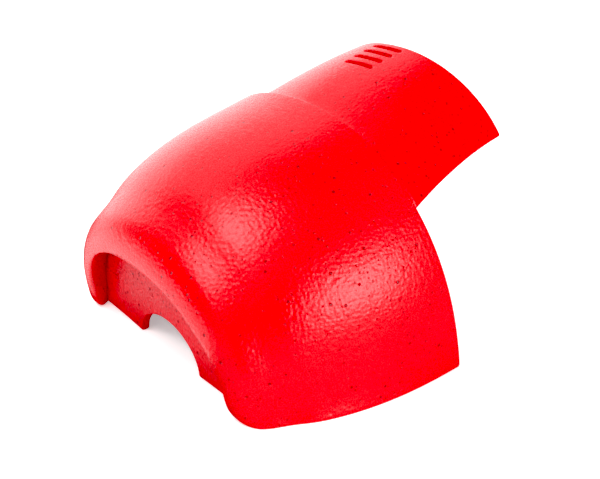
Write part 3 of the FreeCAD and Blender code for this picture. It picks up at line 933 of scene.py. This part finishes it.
def make_strap(name, strap, looks):
    half, width = strap["half"], strap["width"]
    leg_x = -half + WEB / 2
    level = TAB_LEVEL
    hinge = hinge_x(strap)
    tip = hinge - strap["tab"]
    span = joined(run((leg_x, -strap["leg"]), (leg_x, -BEND_RADIUS)),
                  arc((leg_x + BEND_RADIUS, -BEND_RADIUS), BEND_RADIUS, 180, 90, 8),
                  run((leg_x + BEND_RADIUS, 0), (fold_x(strap), 0)),
                  arc((fold_x(strap), FOLD_RADIUS), FOLD_RADIUS, -90, 90, 16))
    piece = ribbon(name + "_strap_web", span, strap, 0, width, WEB)
    finish_piece(piece, "pad", "webbing", looks["webbing"], name + "_strap")

    fold_top = (fold_x(strap), 2 * FOLD_RADIUS)
    slope = run(fold_top, (hinge, level), 1.0 * MM)
    tail = run((hinge, level), (tip, level), 1.5 * MM)
    piece = ribbon(name + "_strap_tail", joined(slope, tail), strap, 0, width, WEB)
    piece.data.materials.append(looks["webbing"])
    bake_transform(piece)
    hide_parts(name + "_strap_end")

    margin = 1.5 * MM
    loop_y = WEB / 2 + PILE / 2
    loops = ribbon(name + "_loop_pile", run((hinge - strap["tab"] - 6 * MM, loop_y),
                                            (hinge - 1 * MM, loop_y)),
                   strap, margin, width - margin, PILE, 0.06 * MM)
    finish_piece(loops, "pad", "loop_pile", looks["loop_pile"], name + "_loop_tape")
    hook_y = WEB / 2 + PILE + PILE_GAP + PILE / 2
    hooks = ribbon(name + "_hook_pile", run((hinge - strap["tab"] + 2 * MM, hook_y),
                                            (hinge - 4 * MM, hook_y)),
                   strap, margin, width - margin, PILE * 0.9)
    finish_piece(hooks, name + "_tab", "hook_tape", looks["hook_tape"], name + "_hook_tape")

    grip_y = level + WEB / 2 + 0.7 * MM
    grip_from = tip - strap["pull"] / 2
    grip = ribbon(name + "_pull_grip", run((grip_from, grip_y),
                                           (grip_from + strap["pull"] * 1.6, grip_y), 1 * MM),
                  strap, 5 * MM, width - 5 * MM, 1.4 * MM)
    finish_piece(grip, name + "_tab", "pull_tab", looks["pull_tab"], name + "_pull_tab")

    bar = keeper_bar_x(strap)
    turn = ROD_RADIUS + ROD_PLAY + KEEPER_WEB / 2
    wall_x = half - KEEPER_WEB / 2
    keeper = joined(run((wall_x, -strap["leg"]), (wall_x, FOLD_RADIUS)),
                    arc((bar, FOLD_RADIUS), turn, 0, 300, 26))
    piece = ribbon(name + "_keeper_web", keeper, strap, 1 * MM, width - 1 * MM, KEEPER_WEB)
    finish_piece(piece, "pad", "webbing", looks["webbing"], name + "_keeper")

    make_ring(name, strap, looks["ring"])
    make_rivets(name + "_anchor_caps", strap, -1, WEB, looks["rivet"], name + "_anchor_rivets")
    make_rivets(name + "_keeper_caps", strap, 1, KEEPER_WEB, looks["rivet"],
                name + "_keeper_rivets")
    for node in (name + "_anchor_base", name + "_keeper_base"):
        block = soft_copy(node, node + "_block", 0.8 * MM)
        finish_piece(block, "pad", "base_rubber", looks["rubber"], node)


# ---- camera, light and floor -------------------------------------------------------------
CAMERA_LENS = 52.8
CAMERA_TARGET = Vector((0.0183, MOUTH_Y + 0.0517, 0.0393))
CAMERA_FROM = (52.48, 23.42)          # azimuth, elevation in degrees
CAMERA_DISTANCE = 0.3183

# name, azimuth, elevation, distance, size, brightness
SOFTBOXES = [("sky_left", -100, 12, 1.0, (1.3, 0.75), 1.75),
             ("sky_left_high", -98, 52, 1.0, (1.2, 0.45), 0.9),
             ("front_box", 2, 59, 0.8, (0.44, 0.34), 5.0),
             ("side_box", 99, 14, 0.8, (0.38, 0.30), 6.5)]
FILLS = [("fill_top", 0, 90, 1.6, 2.6, 0.9),
         ("fill_front", 20, 25, 1.8, 2.0, 0.9),
         ("fill_right", 110, 25, 1.8, 2.0, 0.9),
         ("fill_back", 200, 25, 1.8, 2.0, 0.9),
         ("fill_left", -70, 25, 1.8, 2.0, 0.9)]
FLOOR_HALF = 3.0
REFLECTOR = ((-0.6, -0.7), (0.02, -0.066))    # two corners of the card before the mouth
REFLECTOR_LEVEL = 0.0005
FILM_EXPOSURE = 0.2
FILM_BLACK = (0.021, 0.030, 0.024)    # takes away the veil that the fill lights leave on the red


def look_at(obj, target):
    obj.rotation_mode = "QUATERNION"
    obj.rotation_quaternion = (Vector(target) - obj.location).to_track_quat("-Z", "Y")


def direction(azimuth, elevation):
    a, e = math.radians(azimuth), math.radians(elevation)
    return Vector((math.sin(a) * math.cos(e), -math.cos(a) * math.cos(e), math.sin(e)))


def make_camera():
    data = bpy.data.cameras.new("camera")
    data.sensor_width = 36.0
    data.lens = CAMERA_LENS
    data.clip_start = 0.01
    camera = bpy.data.objects.new("camera", data)
    bpy.context.scene.collection.objects.link(camera)
    camera.location = CAMERA_TARGET + direction(*CAMERA_FROM) * CAMERA_DISTANCE
    look_at(camera, CAMERA_TARGET)
    bpy.context.scene.camera = camera


def area_light(name, place, target, size, power):
    data = bpy.data.lights.new(name, "AREA")
    data.shape = "RECTANGLE"
    data.size, data.size_y = size
    data.energy = power
    light = bpy.data.objects.new(name, data)
    bpy.context.scene.collection.objects.link(light)
    light.location = place
    look_at(light, target)
    return light


def softbox(name, azimuth, elevation, distance, size, radiance, centre):
    """Soft light seen in reflections, of the given brightness."""
    place = centre + direction(azimuth, elevation) * distance
    return area_light(name, place, centre, size, radiance * math.pi * size[0] * size[1])


def fill_light(name, azimuth, elevation, distance, size, radiance, centre):
    """Wide soft light with no sharp reflection; it still leaves a faint veil on the skin."""
    light = softbox(name, azimuth, elevation, distance, (size, size), radiance, centre)
    light.visible_glossy = False


def flat_card(name, low, high, level, tint):
    """Level sheet of the studio, between two corners."""
    card = new_object(name, [(low[0], low[1], level), (high[0], low[1], level),
                             (high[0], high[1], level), (low[0], high[1], level)], [(0, 1, 2, 3)])
    card.data.materials.append(plain_stage(name + "_white", tint))
    return card


def make_studio():
    world = bpy.data.worlds.new("studio")
    bpy.context.scene.world = world
    world.use_nodes = True
    tree = world.node_tree
    background = tree.nodes["Background"]
    background.inputs["Color"].default_value = (1, 1, 1, 1)
    path = tree.nodes.new("ShaderNodeLightPath")
    tree.links.new(path.outputs["Is Camera Ray"], background.inputs["Strength"])
    centre = Vector((0, 0, 0.04))
    for light in SOFTBOXES:
        softbox(*light, centre)
    for light in FILLS:
        fill_light(*light, centre)
    floor = flat_card("floor", (-FLOOR_HALF, -FLOOR_HALF), (FLOOR_HALF, FLOOR_HALF), 0,
                      (1.0, 1.0, 1.0))
    floor.visible_glossy = False
    card = flat_card("reflector", *REFLECTOR, REFLECTOR_LEVEL, (0.75, 0.75, 0.75))
    card.visible_camera = card.visible_diffuse = card.visible_shadow = False
    film = bpy.context.scene.view_settings
    film.view_transform = "Standard"
    film.exposure = FILM_EXPOSURE
    film.use_curve_mapping = True
    film.curve_mapping.black_level = FILM_BLACK
    film.curve_mapping.update()


# ---- whole object ------------------------------------------------------------------------
def make_shell():
    skin = red_vinyl("red_vinyl", 1.3 * MM, 2.2 * MM, 0.42 * MM, 5.6 * MM, 0.62 * MM,
                     0.16 * MM, 0.27)
    wall_skin = red_vinyl("red_vinyl_pitted", 1.3 * MM, 1.8 * MM, 0.5 * MM, 4.0 * MM, 0.7 * MM,
                          0.36 * MM, 0.36)
    cup = subdivide(loop_solid("cup", cup_rows()))
    finish_piece(cup, "pad", "red_skin", skin, "cup_skin", "cup_core")
    wall = subdivide(loop_solid("front_wall", wall_rows()))
    finish_piece(wall, "pad", "red_skin", wall_skin, "front_wall_skin", "front_wall_core")
    guard = subdivide(loop_solid("arm_guard", guard_rows()))
    finish_piece(guard, "pad", "red_skin", skin, "arm_guard_skin", "arm_guard_core")


def make_inside():
    lining = knit("black_knit", (0.010, 0.010, 0.011), (0.045, 0.045, 0.048), 0.9 * MM, 0.2 * MM)
    soft = knit("brushed_knit", (0.02, 0.02, 0.022), (0.075, 0.075, 0.08), 0.7 * MM, 0.16 * MM, 0.9)
    make_cup_lining(lining)
    make_guard_lining(lining)
    make_cushion(soft)
    looks = {
        "webbing": woven("black_webbing", (0.006, 0.006, 0.007), (0.04, 0.04, 0.042)),
        "loop_pile": pile("loop_pile", (0.012, 0.012, 0.012), (0.07, 0.07, 0.072),
                          0.8 * MM, 0.3 * MM),
        "hook_tape": pile("hook_tape", (0.008, 0.008, 0.008), (0.06, 0.06, 0.06),
                          1.1 * MM, 0.4 * MM),
        "pull_tab": woven("red_tape", (0.25, 0.004, 0.006), (0.66, 0.012, 0.016),
                          0.8 * MM, 1.0 * MM),
        "ring": metal("nickel_wire", (0.62, 0.61, 0.60), 0.28),
        "rivet": metal("nickel_cap", (0.58, 0.57, 0.56), 0.34),
        "rubber": moulded_rubber("black_rubber")}
    make_strap("forearm", FOREARM, looks)
    make_strap("arm", ARM, looks)


make_shell()
make_inside()
make_camera()
make_studio()
